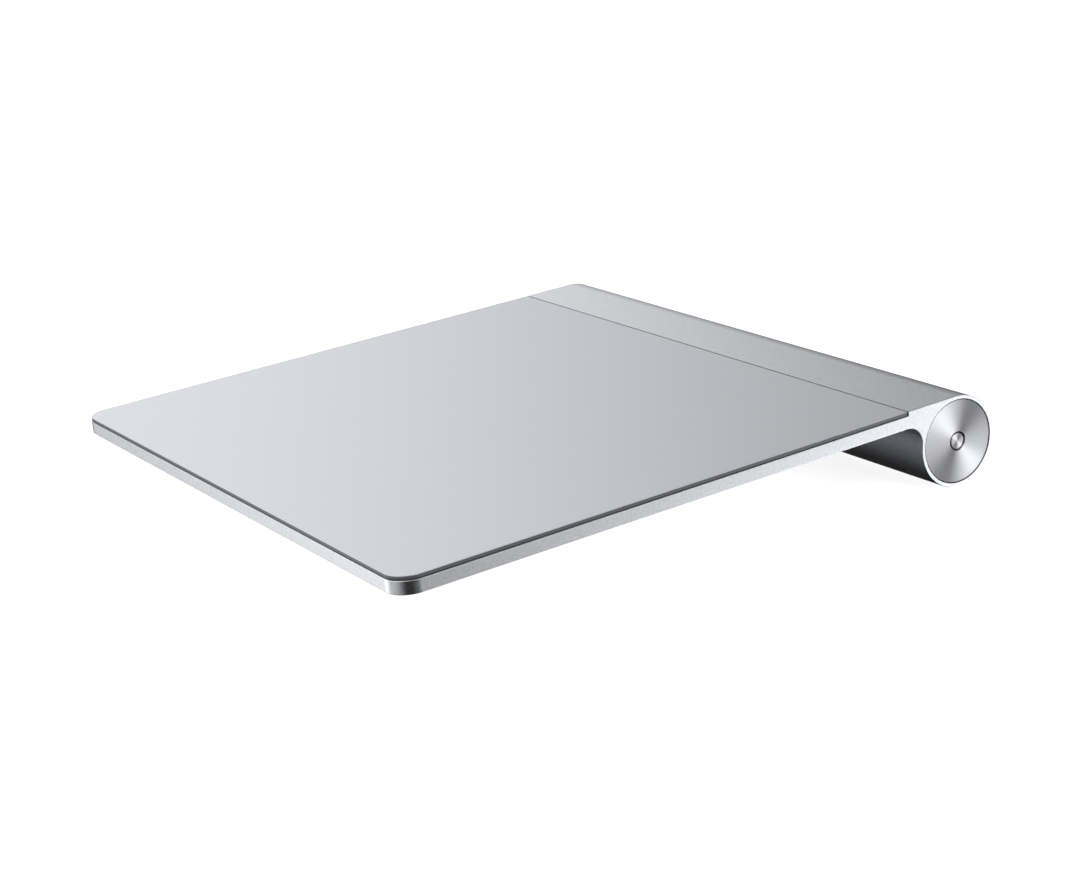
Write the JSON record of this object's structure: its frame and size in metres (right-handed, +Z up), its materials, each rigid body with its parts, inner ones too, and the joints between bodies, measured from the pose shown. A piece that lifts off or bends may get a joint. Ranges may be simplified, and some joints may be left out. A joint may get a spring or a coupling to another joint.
{
  "type": "trackpad",
  "caption": "Wedge-shaped wireless trackpad: glass touch plate on a slim aluminium tray, battery tube along the back, side power button, coin-slot cap, clicking front feet.",
  "frame": {"origin": "on the surface it stands on, under the middle of its outline", "axes": "+X to the right along the battery tube, +Y to the back, +Z up from the desk"},
  "size_m": [0.13, 0.1316, 0.0184],
  "materials": {
    "blasted_aluminium": "fine bead-blasted, clear anodised",
    "spun_aluminium": "lathe-spun face, clear anodised",
    "touch_glass": "acid-etched face, silver-grey backed",
    "adhesive": "pressure-sensitive adhesive",
    "circuit_board": "solder mask over copper",
    "black_plastic": "moulded",
    "white_plastic": "moulded",
    "cover_plastic": "fine moulded grain",
    "foam": "closed-cell foam tape",
    "flat_cable": "polyimide film over copper",
    "foot_rubber": "moulded silicone rubber",
    "steel": "rolled, stamped or drawn",
    "contact_brass": "stamped",
    "cell_jacket": "plain printed jacket"
  },
  "bodies": {
    "body": {"aluminium_body": "blasted_aluminium", "touch_glass": "touch_glass", "glass_adhesive": "adhesive", "touch_sensor_board": "circuit_board", "touch_controller_chip": "black_plastic", "logic_board": "circuit_board", "logic_board_pad": "foam", "radio_shield_can": "steel", "logic_board_chips": "black_plastic", "flex_connectors": "white_plastic", "sensor_flex": "flat_cable", "power_flex": "flat_cable", "click_switch": "black_plastic", "click_dome": "steel", "click_hinge_pins": "steel", "bottom_cover": "cover_plastic", "cover_adhesive": "adhesive", "rear_pad_left": "foot_rubber", "rear_pad_right": "foot_rubber", "end_disc": "spun_aluminium", "power_switch": "black_plastic", "power_switch_board": "circuit_board", "contact_carrier": "white_plastic", "positive_contact": "contact_brass", "battery_cell_inner": "cell_jacket", "battery_cell_outer": "cell_jacket"},
    "click": {"click_lever": "steel", "lever_nub": "black_plastic", "front_foot_left": "foot_rubber", "front_foot_right": "foot_rubber"},
    "button": {"power_button": "spun_aluminium", "power_switch_plunger": "white_plastic"},
    "cap_carriage": {"cap_contact_plate": "contact_brass", "battery_spring": "steel"},
    "cap": {"battery_cap": "spun_aluminium"}
  },
  "joints": [
    {"name": "click_press", "type": "hinge", "parent": "body", "child": "click", "pos_m": [0, -0.0373, 0.0051], "axis": [-1, 0, 0], "range_deg": [0, 1.43], "stiffness_Nm_per_rad": 0.8, "springref_deg": -2.86, "deforming": ["click_dome"]},
    {"name": "power_press", "type": "slide", "parent": "body", "child": "button", "axis": [-1, 0, 0], "range_m": [0, 0.0004], "stiffness_N_per_m": 3000, "springref_m": -0.0002},
    {"name": "cap_back_out", "type": "slide", "parent": "body", "child": "cap_carriage", "axis": [-1, 0, 0], "range_m": [0, 0.005]},
    {"name": "cap_turn", "type": "hinge", "parent": "cap_carriage", "child": "cap", "pos_m": [0, 0.05675, 0.0094], "axis": [-1, 0, 0], "range_deg": [0, 1440]}
  ],
  "couplings": [
    {"joint": "cap_turn", "follows": "cap_back_out", "rad_per_m": 5026.5}
  ]
}
